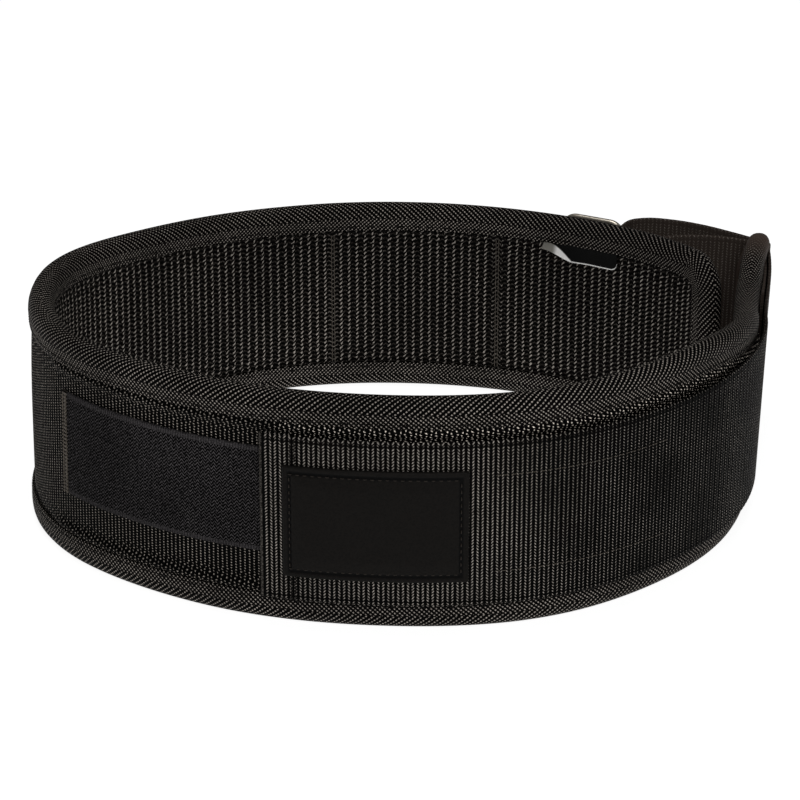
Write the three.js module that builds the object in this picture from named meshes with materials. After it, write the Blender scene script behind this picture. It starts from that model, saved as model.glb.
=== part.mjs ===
// Padded webbing belt, closed into a ring and standing on its lower edge
// Millimetres, Z up; the origin is under the middle of the ring and the strap's end faces -Y

import * as THREE from 'three';

// Ring in plan: an oval whose second end runs straight on, outside the first
const ringHalfWidth = 165;
const ringHalfDepth = 139;
const firstEndAngle = 20.5;
const secondEndAngle = 394.3;
const secondEndFlare = 0.281;

// Where the padding bulges off the oval: the angle, and how far out at its middle
const bulges = [
  [58, -3.2], [83, -2], [112, -0.8], [142, -5.7], [183, -1.8],
  [206, 1], [228, -2.4], [290, 4.5], [325, -1.5], [350, -3.4],
];
const bulgeSpread = 20;

// How far the top edge stands outside the bottom edge
const leanLeft = -3;
const leanRight = 1.5;
const leanSecondEnd = 2;

// Height of the belt: full at the front and left, lower at the back and at the second end
const heightFront = 106.5;
const heightBack = 97.8;
const heightSecondEnd = 93;
const tipRise = 4.5;
const riseAngles = [105, 185];
const dropAngles = [322, 372];
const tipAngles = [374, 391];
const cornerRadius = 19;
const cornerSteps = 5;
const lengthSteps = 64;

// Layers, as distances outwards from the middle of the padding
const coreHalf = 2.8;
const skinInner = 3.1;
const skinOuter = 4.2;
const bindingInner = 4.5;
const bindingOuter = 5.7;
const bindingDepth = 13;
const crestHalf = 1.5;
const crestDepth = 5;
const channelDepth = 2.5;
const coreEdge = 2.8;
const skinEdge = 6.2;

// Loop field on the cover, and the hook panel behind the strap that grips it
const loopField = { from: 494, to: 794, inner: 4.5, outer: 5.9, height: 48.6, middle: 57 };
const hookPanel = { from: 620, to: 786, inner: 6.5, outer: 8, height: 48 };

// Strap: one length of webbing that passes round the ring's bar and comes back over itself
const strapWidth = 76;
const strapThickness = 1.6;
const innerLayer = 6.8;
const outerLayer = 9.1;
const hemLayer = 7.1;
const strapEnd = 604.5;
const hemLength = 13;
const strapSewnFrom = 930;
const strapMiddleFront = 51.4;
const strapMiddleSecondEnd = 50;
const strapMiddleRing = 52.8;

// The strap's free stretches in plan: out round the second end to the ring, and back to the cover
const strapBulge = [
  [184.6, 102.5], [182.4, 105.4], [178.4, 108.2], [168.4, 116.6], [154.2, 127.4],
  [140, 134.3], [128, 136.4], [119.6, 133.2], [115.2, 126.2], [113.2, 118],
];
const strapTuck = [
  [120.4, 103.2], [127, 104.8], [136, 108.5], [148, 110.8], [162.5, 109.6],
  [173, 106.2], [178.2, 104], [181.7, 101.9],
];

// Steel ring on the outer face, and the webbing keeper that holds it
const ringAlong = 86.8;
const ringOffset = 9.1;
const ringWidth = 36;
const ringWire = 4.4;
const ringThickness = 3.2;
const ringCorner = 9;
const ringWindowHeight = 79;
const barClearance = 1.5;
const keeperLength = 30;
const keeperRise = 9;
const keeperOuterLayer = 8.7;

// Badge on the strap and size label inside
const badge = { from: 615.5, to: 691.5, inner: 10.2, outer: 11.6, height: 50 };
const badgeLift = -0.6;
const sizeLabel = { from: 66.5, to: 109.5, inner: -5.5, outer: -4.6, height: 9.5 };

const seamGap = 0.3;
const up = new THREE.Vector3(0, 0, 1);
const { degToRad, lerp, smoothstep, clamp } = THREE.MathUtils;

// Middle line of the padding in plan, from the first end round the front to the second
class BeltLine extends THREE.Curve {
  angleAt(t) {
    return lerp(firstEndAngle, secondEndAngle, t);
  }

  getPoint(t, target = new THREE.Vector3()) {
    const degrees = this.angleAt(t);
    const turn = degToRad(degrees);
    const past = Math.max(0, degrees - 360) / (secondEndAngle - 360);
    const spread = 1 + secondEndFlare * past * past;
    target.set(ringHalfWidth * Math.cos(turn), ringHalfDepth * Math.sin(turn), 0);
    return target.setLength(target.length() * spread + bulgeAt(degrees));
  }
}

function bulgeAt(degrees) {
  const share = (angle) => Math.exp(-(((degrees - angle) / bulgeSpread) ** 2));
  return bulges.reduce((sum, [angle, size]) => sum + size * share(angle), 0);
}

const beltLine = new BeltLine();
beltLine.arcLengthDivisions = 1500;
const beltLength = beltLine.getLength();

function heightAt(degrees) {
  const rise = smoothstep(degrees, ...riseAngles) * (heightFront - heightBack);
  const drop = smoothstep(degrees, ...dropAngles) * (heightFront - heightSecondEnd);
  return heightBack + rise - drop + tipRise * smoothstep(degrees, ...tipAngles);
}

function leanAt(degrees) {
  if (degrees < 90) return 0;
  if (degrees < 270) return -leanLeft * Math.cos(degToRad(degrees));
  const right = leanRight * Math.sin(degToRad(Math.min(degrees - 270, 90)));
  return right + leanSecondEnd * smoothstep(degrees, ...dropAngles);
}

// The belt at one distance along it: place in plan, directions, height and lean
function stationAt(along) {
  const t = beltLine.getUtoTmapping(0, clamp(along, 0, beltLength));
  const degrees = beltLine.angleAt(t);
  const tangent = beltLine.getTangent(t);
  const outward = new THREE.Vector3().crossVectors(tangent, up).normalize();
  const height = heightAt(degrees);
  return { place: beltLine.getPoint(t), tangent, outward, height, lean: leanAt(degrees) / height };
}

// A point of the belt from its distance along, its distance outwards and its height
function beltPoint(along, offset, z) {
  const { place, outward, height, lean } = stationAt(along);
  return place.addScaledVector(outward, offset + lean * (z - height / 2)).setZ(z);
}

function evenly(from, to, steps) {
  return Array.from({ length: steps + 1 }, (_, i) => lerp(from, to, i / steps));
}

// Distances along the belt for a full-length piece, closer together in its rounded corners
function fullLengthStations(inset) {
  const radius = cornerRadius - inset;
  const corner = evenly(0, Math.PI / 2, cornerSteps).map((angle) => inset + radius * (1 - Math.cos(angle)));
  const middle = evenly(cornerRadius, beltLength - cornerRadius, lengthSteps).slice(1, -1);
  return [...corner, ...middle, ...corner.map((along) => beltLength - along).reverse()];
}

// How far a rounded corner takes the edge in, at a distance from the end of the piece
function cornerDrop(fromEnd, radius) {
  const reach = clamp(radius - fromEnd, 0, radius);
  return radius - Math.sqrt(radius * radius - reach * reach);
}

// A long box bent to follow the belt, between two distances outwards and two edges
function bentLayer(stations, inner, outer, lowerEdge, upperEdge) {
  const steps = stations.length - 1;
  const geometry = new THREE.BoxGeometry(1, 1, 1, steps, 1, 1);
  const position = geometry.attributes.position;
  for (let i = 0; i < position.count; i++) {
    const along = stations[Math.round((position.getX(i) + 0.5) * steps)];
    const offset = position.getY(i) < 0 ? outer : inner;
    const z = position.getZ(i) < 0 ? lowerEdge(along) : upperEdge(along);
    position.setXYZ(i, ...beltPoint(along, offset, z));
  }
  return geometry;
}

// A layer as long as the belt, held in from its outline on every side
function fullLayer(inner, outer, inset) {
  const radius = cornerRadius - inset;
  const edge = (along) => inset + cornerDrop(Math.min(along, beltLength - along) - inset, radius);
  const upper = (along) => stationAt(along).height - edge(along);
  return bentLayer(fullLengthStations(inset), inner, outer, edge, upper);
}

// A rectangular patch that follows the belt, with its middle at a height that may change
function patch({ from, to, inner, outer, height }, middleAt, steps) {
  const lower = (along) => middleAt(along) - height / 2;
  const upper = (along) => middleAt(along) + height / 2;
  return bentLayer(evenly(from, to, steps), inner, outer, lower, upper);
}

// One quarter of the outline: points round a corner, each with the direction to its inside
function outlineCorner(along, z, startAngle) {
  return evenly(startAngle, startAngle + 90, cornerSteps).map((degrees) => {
    const [across, rise] = [Math.cos(degToRad(degrees)), Math.sin(degToRad(degrees))];
    return { along: along + cornerRadius * across, z: z + cornerRadius * rise, inward: [-across, -rise] };
  });
}

// A point at the middle of one end's straight side
function endPoint(along, z) {
  return { along, z, inward: [along > 0 ? -1 : 1, 0] };
}

function straightRun(edgeAt, inward) {
  const run = fullLengthStations(0).slice(cornerSteps + 1, -cornerSteps - 1);
  return run.map((along) => ({ along, z: edgeAt(along), inward }));
}

// The belt's outline laid flat: its upper half, from the second end to the first
function upperOutline() {
  const [first, second] = [0, beltLength].map((along) => stationAt(along).height);
  return [
    endPoint(beltLength, second / 2 + seamGap / 2),
    ...outlineCorner(beltLength - cornerRadius, second - cornerRadius, 0),
    ...straightRun((along) => stationAt(along).height, [0, -1]).reverse(),
    ...outlineCorner(cornerRadius, first - cornerRadius, 90),
    endPoint(0, first / 2 + seamGap / 2),
  ];
}

// The lower half, from the first end to the second
function lowerOutline() {
  const [first, second] = [0, beltLength].map((along) => stationAt(along).height);
  return [
    endPoint(0, first / 2 - seamGap / 2),
    ...outlineCorner(cornerRadius, cornerRadius, 180),
    ...straightRun(() => 0, [0, 1]),
    ...outlineCorner(beltLength - cornerRadius, cornerRadius, 270),
    endPoint(beltLength, second / 2 - seamGap / 2),
  ];
}

// Section of the folded binding: across the belt, and inwards from its outline
function bindingSection() {
  const half = [
    [bindingInner, bindingDepth],
    [bindingOuter, bindingDepth],
    [bindingOuter, crestDepth],
    [bindingOuter - 1.4, 1.4],
    [crestHalf, 0],
  ];
  const channel = [
    [-bindingInner, skinEdge - seamGap],
    [-skinInner, channelDepth],
    [skinInner, channelDepth],
    [bindingInner, skinEdge - seamGap],
  ];
  const mirrored = half.map(([across, depth]) => [-across, depth]).reverse();
  const points = [...half, ...mirrored, ...channel];
  return new THREE.Shape(points.map(([across, depth]) => new THREE.Vector2(across, depth)));
}

function edgeBinding(stations) {
  const steps = stations.length - 1;
  const geometry = new THREE.ExtrudeGeometry(bindingSection(), { depth: 1, steps, bevelEnabled: false });
  const position = geometry.attributes.position;
  for (let i = 0; i < position.count; i++) {
    const { along, z, inward } = stations[Math.round(position.getZ(i) * steps)];
    const depth = position.getY(i);
    const point = beltPoint(along + inward[0] * depth, -position.getX(i), z + inward[1] * depth);
    position.setXYZ(i, ...point);
  }
  return geometry;
}

// Webbing: a ribbon through stations in plan, each with its own middle height and lean
function webbingRibbon(stations) {
  const steps = stations.length - 1;
  const geometry = new THREE.BoxGeometry(1, 1, 1, steps, 1, 1);
  const position = geometry.attributes.position;
  for (let i = 0; i < position.count; i++) {
    const index = Math.round((position.getX(i) + 0.5) * steps);
    const { centre, middle, lean } = stations[index];
    const before = stations[Math.max(index - 1, 0)].centre;
    const after = stations[Math.min(index + 1, steps)].centre;
    const side = new THREE.Vector3().crossVectors(after.clone().sub(before), up).normalize();
    const rise = position.getZ(i) * strapWidth;
    const point = centre.clone().addScaledVector(side, -position.getY(i) * strapThickness);
    position.setXYZ(i, ...point.addScaledVector(lean, rise).setZ(middle + rise));
  }
  return geometry;
}

function strapMiddleAt(along) {
  return lerp(strapMiddleFront, strapMiddleSecondEnd, smoothstep(along, 860, beltLength));
}

// A ribbon station that lies on the belt, at a distance outwards
function onBelt(along, offset, middle = strapMiddleAt(along)) {
  const { place, outward, height, lean } = stationAt(along);
  const centre = place.addScaledVector(outward, offset + lean * (middle - height / 2));
  return { centre, middle, lean: outward.multiplyScalar(lean) };
}

// Ribbon stations on a smooth curve between two others, through points chosen in plan
function freeStretch(first, points, last, steps) {
  const ends = [first.centre, last.centre];
  const between = points.map(([x, y]) => new THREE.Vector3(x, y, 0));
  const curve = new THREE.CatmullRomCurve3([ends[0], ...between, ends[1]], false, 'centripetal');
  return evenly(0, 1, steps).slice(1, -1).map((part) => ({
    centre: curve.getPointAt(part),
    middle: lerp(first.middle, last.middle, part),
    lean: first.lean.clone().lerp(last.lean, part),
  }));
}

// The steel ring's frame: its centre, the direction along the belt and the direction outwards
function ringFrame() {
  const { place, tangent, outward } = stationAt(ringAlong);
  return { centre: place.addScaledVector(outward, ringOffset), tangent, outward };
}

// Stations round one upright bar of the ring, from its outer side through the window to its inner
function roundBar(side) {
  const { centre, tangent, outward } = ringFrame();
  const bar = centre.addScaledVector(tangent, -side * (ringWidth / 2 - ringWire / 2));
  const reach = [ringWire / 2 + barClearance + 2 * seamGap, ringThickness / 2 + barClearance];
  return evenly(90, -90, 10).map((degrees) => {
    const rise = Math.sin(degToRad(degrees));
    const point = bar.clone().addScaledVector(tangent, side * Math.cos(degToRad(degrees)) * reach[0]);
    point.addScaledVector(outward, Math.sign(rise) * Math.sqrt(Math.abs(rise)) * reach[1]);
    return { centre: point, middle: strapMiddleRing, lean: new THREE.Vector3() };
  });
}

function webbingStrap() {
  const beltRow = (from, to, steps, offset) => evenly(from, to, steps).map((along) => onBelt(along, offset));
  const hem = beltRow(strapEnd + hemLength, strapEnd + 1, 3, hemLayer);
  const fold = onBelt(strapEnd, (hemLayer + outerLayer) / 2);
  const outer = beltRow(strapEnd + 1, beltLength - 1, 46, outerLayer);
  const turn = roundBar(1).slice(1);
  const inner = beltRow(beltLength - 1, strapSewnFrom, 7, innerLayer);
  return webbingRibbon([
    ...hem,
    fold,
    ...outer,
    ...freeStretch(outer.at(-1), strapBulge, turn[0], 30),
    ...turn,
    ...freeStretch(turn.at(-1), strapTuck, inner[0], 22),
    ...inner,
  ]);
}

// Keeper: webbing folded round the ring's other bar, both layers sewn to the cover
function ringKeeper() {
  const sewn = ringAlong + ringWidth / 2 + keeperLength;
  const near = ringAlong + ringWidth / 2 + keeperRise;
  const layer = (...ends) => evenly(...ends, 3).map((along) => [along, strapMiddleRing]);
  const over = layer(sewn, near).map(([along, middle]) => onBelt(along, keeperOuterLayer, middle));
  const under = layer(near, sewn).map(([along, middle]) => onBelt(along, innerLayer, middle));
  return webbingRibbon([...over, ...roundBar(-1), ...under]);
}

function roundedRectangle(Kind, width, height, radius) {
  const [x, y] = [width / 2 - radius, height / 2 - radius];
  const path = new Kind();
  path.absarc(x, y, radius, 0, Math.PI / 2);
  path.absarc(-x, y, radius, Math.PI / 2, Math.PI);
  path.absarc(-x, -y, radius, Math.PI, Math.PI * 1.5);
  path.absarc(x, -y, radius, Math.PI * 1.5, Math.PI * 2);
  path.closePath();
  return path;
}

function buckleRing() {
  const bevel = 0.9;
  const height = ringWindowHeight + 2 * ringWire;
  const plate = roundedRectangle(THREE.Shape, ringWidth, height, ringCorner);
  const windowRadius = ringCorner - ringWire;
  plate.holes.push(roundedRectangle(THREE.Path, ringWidth - 2 * ringWire, ringWindowHeight, windowRadius));
  const geometry = new THREE.ExtrudeGeometry(plate, {
    depth: ringThickness - 2 * bevel,
    bevelThickness: bevel,
    bevelSize: bevel,
    bevelOffset: -bevel,
    bevelSegments: 2,
    curveSegments: 6,
  });
  return geometry.translate(0, 0, bevel - ringThickness / 2);
}

function fabric(color, roughness) {
  return new THREE.MeshStandardMaterial({ color, roughness, metalness: 0 });
}

const nylon = fabric(0x1c1a19, 0.75);
const twill = fabric(0x1f1c1a, 0.7);
const hookAndLoop = fabric(0x232224, 0.9);
const satin = fabric(0x1d1c1c, 0.45);
const belt = new THREE.Group();

function add(name, geometry, material) {
  const mesh = new THREE.Mesh(geometry, material);
  mesh.name = name;
  belt.add(mesh);
  return mesh;
}

add('neoprene_core', fullLayer(-coreHalf, coreHalf, coreEdge), fabric(0x151515, 0.95));
add('outer_cover', fullLayer(skinInner, skinOuter, skinEdge), nylon);
add('inner_lining', fullLayer(-skinOuter, -skinInner, skinEdge), nylon);
add('binding_upper', edgeBinding(upperOutline()), twill);
add('binding_lower', edgeBinding(lowerOutline()), twill);
add('loop_field', patch(loopField, () => loopField.middle, 22), hookAndLoop);
add('hook_panel', patch(hookPanel, strapMiddleAt, 14), hookAndLoop);
add('webbing_strap', webbingStrap(), nylon);
add('ring_keeper', ringKeeper(), nylon);

const steel = new THREE.MeshStandardMaterial({ color: 0xc9c4bc, roughness: 0.2, metalness: 1 });
const ring = add('buckle_ring', buckleRing(), steel);
const { centre, tangent, outward } = ringFrame();
ring.setRotationFromMatrix(new THREE.Matrix4().makeBasis(tangent, up, outward));
ring.position.copy(centre).setZ(strapMiddleRing);

const badgeMiddle = (along) => strapMiddleAt(along) + badgeLift;
add('badge_patch', patch(badge, badgeMiddle, 8), fabric(0x1a1614, 0.5));

const labelMiddle = (along) => stationAt(along).height - bindingDepth - seamGap - sizeLabel.height / 2;
add('size_label', patch(sizeLabel, labelMiddle, 4), satin);

// The ring stands with the middle of its outline over the origin
const outlineBox = new THREE.Box3().setFromObject(belt);
const middleOfBelt = outlineBox.getCenter(new THREE.Vector3()).setZ(0);
belt.children.forEach((mesh) => mesh.position.sub(middleOfBelt));

export default belt;
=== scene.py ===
import math
import bpy
import numpy as np
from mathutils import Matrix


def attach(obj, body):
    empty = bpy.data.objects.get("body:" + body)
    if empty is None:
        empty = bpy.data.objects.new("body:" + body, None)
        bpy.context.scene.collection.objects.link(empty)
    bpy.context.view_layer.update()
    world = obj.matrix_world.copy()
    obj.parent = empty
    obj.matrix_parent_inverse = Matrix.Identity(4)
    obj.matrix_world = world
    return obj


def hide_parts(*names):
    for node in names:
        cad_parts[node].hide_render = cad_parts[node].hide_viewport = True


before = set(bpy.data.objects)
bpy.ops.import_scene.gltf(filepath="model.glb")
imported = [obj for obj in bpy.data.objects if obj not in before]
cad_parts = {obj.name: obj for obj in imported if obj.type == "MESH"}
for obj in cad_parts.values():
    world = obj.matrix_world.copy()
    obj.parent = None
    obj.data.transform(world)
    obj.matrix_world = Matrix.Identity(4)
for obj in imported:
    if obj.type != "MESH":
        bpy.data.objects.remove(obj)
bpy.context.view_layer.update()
print("frame loaded,", len(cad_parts), "nodes")

# The belt's own form, in millimetres, the same as in the part's source
beltForm = {
    "halfWidth": 165, "halfDepth": 139,  # oval in plan
    "ends": (20.5, 394.3),  # where the padding starts and stops, in degrees
    "flare": 0.281,  # how far the outer end runs off the oval
    "bulges": [(58, -3.2), (83, -2), (112, -0.8), (142, -5.7), (183, -1.8),
               (206, 1), (228, -2.4), (290, 4.5), (325, -1.5), (350, -3.4)],
    "bulgeSpread": 20,
    "leanLeft": -3, "leanRight": 1.5, "leanSecondEnd": 2,
    "heightFront": 106.5, "heightBack": 97.8, "heightSecondEnd": 93,
    "rise": (105, 185), "drop": (322, 372),
    "corner": 19,
    "tip": (374, 391), "tipRise": 7.0,
    "tipFlare": 3.4,  # cloth only: the corner of the outer end curls away over the strap
    "flareAlong": (40, 8), "flareDown": (24, 4),  # where it starts and is whole, from end and top
    "shift": (-8.217, 5.100),  # puts the middle of the outline over the origin
}
layers = {
    "skinIn": 3.1, "skinOut": 4.2, "bindingIn": 4.5, "bindingDepth": 13, "strapInner": 6.8, "strapOuter": 9.1,
}


def smoothStep(x, low, high):
    t = np.clip((x - low) / (high - low), 0, 1)
    return t * t * (3 - 2 * t)


def running(steps):
    return np.concatenate([[0], np.cumsum(steps)])


def layOutBelt(form):
    angle = np.linspace(*form["ends"], 6001)
    turn = np.radians(angle)
    bulge = sum(size * np.exp(-((angle - at) / form["bulgeSpread"]) ** 2) for at, size in form["bulges"])
    past = np.clip(angle - 360, 0, None) / (form["ends"][1] - 360)
    x, y = form["halfWidth"] * np.cos(turn), form["halfDepth"] * np.sin(turn)
    reach = 1 + form["flare"] * past ** 2 + bulge / np.hypot(x, y)
    x, y = x * reach, y * reach
    along = running(np.hypot(np.diff(x), np.diff(y)))
    tangentX, tangentY = np.gradient(x, along), np.gradient(y, along)
    rise = smoothStep(angle, *form["rise"]) * (form["heightFront"] - form["heightBack"])
    drop = smoothStep(angle, *form["drop"]) * (form["heightFront"] - form["heightSecondEnd"])
    height = form["heightBack"] + rise - drop + form["tipRise"] * smoothStep(angle, *form["tip"])
    left = -form["leanLeft"] * np.cos(turn)
    right = form["leanRight"] * np.sin(np.radians(np.clip(angle - 270, 0, 90)))
    right = right + form["leanSecondEnd"] * smoothStep(angle, *form["drop"])
    lean = np.where(angle < 90, 0, np.where(angle < 270, left, right))
    size = np.hypot(tangentX, tangentY)
    return {"along": along, "x": x, "y": y, "outX": tangentY / size, "outY": -tangentX / size,
            "height": height, "lean": lean / height}


beltLine = layOutBelt(beltForm)
beltLength = float(beltLine["along"][-1])


def read(name, along):
    return np.interp(along, beltLine["along"], beltLine[name])


# A place on the belt from its distance along, its distance outwards and its height, in millimetres
def onBelt(along, offset, z):
    along, offset, z = np.broadcast_arrays(along, offset, z)
    height = read("height", along)
    out = offset + read("lean", along) * (z - height / 2)
    (farEnd, nearEnd), (farTop, nearTop) = beltForm["flareAlong"], beltForm["flareDown"]
    curl = beltForm["tipFlare"] * smoothStep(along, beltLength - farEnd, beltLength - nearEnd)
    out = out + curl * smoothStep(z - height, -farTop, -nearTop)
    x = read("x", along) + read("outX", along) * out + beltForm["shift"][0]
    y = read("y", along) + read("outY", along) * out + beltForm["shift"][1]
    return np.stack([x, y, z], -1)


def outwardAt(along):
    return np.stack([read("outX", along), read("outY", along), np.zeros_like(along)], -1)


# Meshes: every cloth layer is a section swept through rings of points, with its weave laid on in millimetres
def newPiece(name, points, faces, material, uv=None, sharp=40):
    mesh = bpy.data.meshes.new(name)
    mesh.from_pydata((np.asarray(points).reshape(-1, 3) / 1000).tolist(), [], faces)
    mesh.polygons.foreach_set("use_smooth", np.ones(len(mesh.polygons), bool))
    if uv is not None:
        layer = mesh.uv_layers.new(name="weave")
        layer.data.foreach_set("uv", np.asarray(uv, np.float32).ravel())
    mesh.set_sharp_from_angle(angle=math.radians(sharp))
    mesh.materials.append(material)
    mesh.validate()
    piece = bpy.data.objects.new(name, mesh)
    bpy.context.scene.collection.objects.link(piece)
    return piece


def sweep(name, rings, uv, material, loopLength=None, sharp=50):
    count, around = rings.shape[:2]
    last = count if loopLength else count - 1
    i, j = np.meshgrid(np.arange(last), np.arange(around), indexing="ij")
    nextI, nextJ = (i + 1) % count, (j + 1) % around
    quads = np.stack([i * around + j, nextI * around + j, nextI * around + nextJ, i * around + nextJ], -1)
    faces = quads.reshape(-1, 4)
    wrapped = np.where(i + 1 == count, loopLength or 0, 0)
    corners = []
    for a, b in ((i, j), (nextI, j), (nextI, nextJ), (i, nextJ)):
        place = uv[a, b].copy()
        place[..., 0] += np.where(a is nextI, wrapped, 0)
        corners.append(place)
    loops = np.stack(corners, 2).reshape(-1, 2)
    faces = faces.tolist()
    if not loopLength:
        faces += [list(range(around)), [(count - 1) * around + k for k in reversed(range(around))]]
        loops = np.concatenate([loops, uv[0], uv[-1][::-1]])
    return newPiece(name, rings, faces, material, loops, sharp)


# A panel that follows the belt: a front face of many rows, and a plain back
def panel(name, along, rows, frontAt, backAt, material, sharp=50):
    u = np.broadcast_to(along[:, None], (len(along), len(rows)))
    v = np.broadcast_to(rows[None, :], u.shape)
    front, back = frontAt(u, v), backAt(u[:, [-1, 0]], v[:, [-1, 0]])
    rings = np.concatenate([front, back], 1)
    uv = np.concatenate([np.stack([u, v], -1), np.stack([u[:, [-1, 0]], v[:, [-1, 0]]], -1)], 1)
    return sweep(name, rings, uv, material, sharp=sharp)


def finishPiece(piece, slot, *nodes):
    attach(piece, "root")
    if nodes:
        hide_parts(*nodes)
    return piece


# Slow unevenness of sewn cloth: a few waves that don't repeat
def unevenness(u, v, size, seed):
    waves = np.sin(u / 23 + seed) + np.sin(u / 11.3 + v / 19 + 2 * seed) + np.sin(v / 13 - u / 37 + seed)
    return size * waves / 3


# Threads: short rounded stitches that dip into the cloth at both ends
stitchForm = {"sides": 6, "rings": (-1, -0.8, -0.3, 0.3, 0.8, 1), "girth": (0.35, 0.9, 1, 1, 0.9, 0.35),
              "rise": (-0.9, 0.1, 0.55, 0.55, 0.1, -0.9)}


def stitches(name, places, directions, normals, length, thick, material):
    places, directions, normals = (np.asarray(a, float) for a in (places, directions, normals))
    directions = directions / np.linalg.norm(directions, axis=1, keepdims=True)
    across = np.cross(directions, normals)
    across /= np.linalg.norm(across, axis=1, keepdims=True)
    upward = np.cross(across, directions)
    sides, radius = stitchForm["sides"], thick / 2
    turn = np.arange(sides) * 2 * math.pi / sides
    points = []
    for at, girth, rise in zip(stitchForm["rings"], stitchForm["girth"], stitchForm["rise"]):
        middle = places + directions * (at * length / 2) + upward * (rise * radius)
        for angle in turn:
            points.append(middle + (across * math.cos(angle) + upward * math.sin(angle)) * radius * girth)
    points = np.stack(points, 1)
    ringCount, total = len(stitchForm["rings"]), len(places)
    template = [[r * sides + k, r * sides + nextK, (r + 1) * sides + nextK, (r + 1) * sides + k]
                for r in range(ringCount - 1) for k, nextK in zip(range(sides), [*range(1, sides), 0])]
    starts = np.arange(total) * ringCount * sides
    quads = (starts[:, None, None] + np.array(template)[None]).reshape(-1, 4).tolist()
    caps = [[s + k for k in reversed(range(sides))] for s in starts.tolist()]
    caps += [[s + (ringCount - 1) * sides + k for k in range(sides)] for s in starts.tolist()]
    return newPiece(name, points, quads + caps, material, sharp=70)


# A row of stitches that follows the belt at one height
def rowAlong(start, stop, z, offset, pitch):
    along = np.arange(start, stop, pitch)
    z = np.broadcast_to(np.asarray(z(along) if callable(z) else z, float), along.shape)
    places = onBelt(along, offset, z)
    directions = onBelt(along + 1, offset, z) - onBelt(along - 1, offset, z)
    return places, directions, outwardAt(along) * np.sign(offset)


def columnUp(along, low, high, offset, pitch):
    z = np.arange(low, high, pitch)
    at = np.full_like(z, along)
    places = onBelt(at, offset, z)
    return places, onBelt(at, offset, z + 1) - places, outwardAt(at) * np.sign(offset)


def gather(*rows):
    return [np.concatenate([row[k] for row in rows]) for k in range(3)]


# Materials
def linear(hexColour):
    channels = [int(hexColour[i:i + 2], 16) / 255 for i in (1, 3, 5)]
    return [c / 12.92 if c <= 0.04045 else ((c + 0.055) / 1.055) ** 2.4 for c in channels] + [1]


def addNode(tree, kind, settings=None, links=None):
    node = tree.nodes.new("ShaderNode" + kind)
    for key, value in (settings or {}).items():
        setattr(node, key, value)
    for key, value in (links or {}).items():
        if isinstance(value, bpy.types.Node):
            value = value.outputs[0]
        if isinstance(value, bpy.types.NodeSocket):
            tree.links.new(value, node.inputs[key])
        else:
            node.inputs[key].default_value = value
    return node


# Settings that many nodes share
multiply, multiplyAdd, subtract = ({"operation": way} for way in ("MULTIPLY", "MULTIPLY_ADD", "SUBTRACT"))
absolute, toPower, sine, pingPong = ({"operation": way} for way in ("ABSOLUTE", "POWER", "SINE", "PINGPONG"))
smooth = {"interpolation_type": "SMOOTHSTEP"}
mixFloat, mixColour = {"data_type": "FLOAT"}, {"data_type": "RGBA"}
tintColour = {"data_type": "RGBA", "blend_type": "MULTIPLY"}


def newMaterial(name):
    material = bpy.data.materials.new(name)
    material.use_nodes = True
    material.node_tree.nodes.clear()
    return material, material.node_tree


def endInShader(tree, surface):
    shader = addNode(tree, "BsdfPrincipled", {}, surface)
    addNode(tree, "OutputMaterial", {}, {"Surface": shader})
    return shader


# Lays one more colour over the one that a shader already has
def layColour(tree, shader, settings, share, colour):
    own = shader.inputs["Base Color"].links[0].from_socket
    laid = addNode(tree, "Mix", settings, {0: share, 6: own, 7: colour})
    tree.links.new(laid.outputs[2], shader.inputs["Base Color"])


# Distance along the cloth and across it, in millimetres
def clothPlace(tree):
    place = addNode(tree, "UVMap", {"uv_map": "weave"})
    parts = addNode(tree, "SeparateXYZ", links={0: place})
    return place, parts.outputs["X"], parts.outputs["Y"]


# Rounded threads, one to each pitch, from a distance in millimetres: 0 in the gap, 1 on top
def threadHeight(tree, distance, pitch, fullness=0.6):
    turned = addNode(tree, "Math", multiply, {0: distance, 1: math.pi / pitch})
    wave = addNode(tree, "Math", sine, {0: turned})
    size = addNode(tree, "Math", absolute, {0: wave})
    return addNode(tree, "Math", toPower, {0: size, 1: fullness}).outputs[0]


# What every woven piece shares: black gaps that are painted shade between the threads, dark yarn, and pale
# crests that are painted highlights standing in for the yarn's gloss, with relief and hardly any gloss
def finishCloth(tree, place, height, look):
    fibres = addNode(tree, "TexNoise", {}, {"Vector": place, "Scale": 1.3, "Detail": 3.0, "Roughness": 0.7})
    solid = addNode(tree, "TexCoord")
    fading = addNode(tree, "TexNoise", {}, {"Vector": solid.outputs["Object"], "Scale": 18.0, "Detail": 3.0})
    uneven = addNode(tree, "MapRange", {}, {0: fibres, 1: 0.3, 2: 0.7, 3: 0.72, 4: 1.15})
    shown = addNode(tree, "Math", multiply, {0: height, 1: uneven})
    # the lower a thread lies, the nearer its colour comes to the black of the gap: painted shade between
    # threads
    body = addNode(tree, "MapRange", smooth, {0: shown, 1: 0.15, 2: look["highlightFrom"]})
    yarn = addNode(tree, "Mix", mixColour, {0: body, 6: linear(look["gap"]), 7: linear(look["yarn"])})
    # the highest crests take the pale tip colour: a painted highlight in place of the yarn's gloss
    paintedHighlight = addNode(tree, "MapRange", smooth, {0: shown, 1: look["highlightFrom"], 2: look["highlightTo"]})
    withPaintedHighlight = addNode(tree, "Mix", mixColour, {0: paintedHighlight, 6: yarn.outputs[2], 7: linear(look["tip"])})
    worn = addNode(tree, "MapRange", {}, {0: fading, 1: 0.35, 2: 0.65, 3: 0.75, 4: 1.15})
    colour = addNode(tree, "Mix", tintColour,
                     {0: 1.0, 6: withPaintedHighlight.outputs[2], 7: worn})
    relief = addNode(tree, "Math", multiplyAdd, {0: fibres, 1: 0.25, 2: height})
    bump = addNode(tree, "Bump", {}, {"Strength": 1.0, "Distance": look["relief"] / 1000, "Height": relief})
    shader = endInShader(tree, {
        "Base Color": colour.outputs[2], "Roughness": look["roughness"], "Normal": bump, "IOR": 1.53,
        "Specular IOR Level": look["gloss"]})
    return shader
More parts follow.
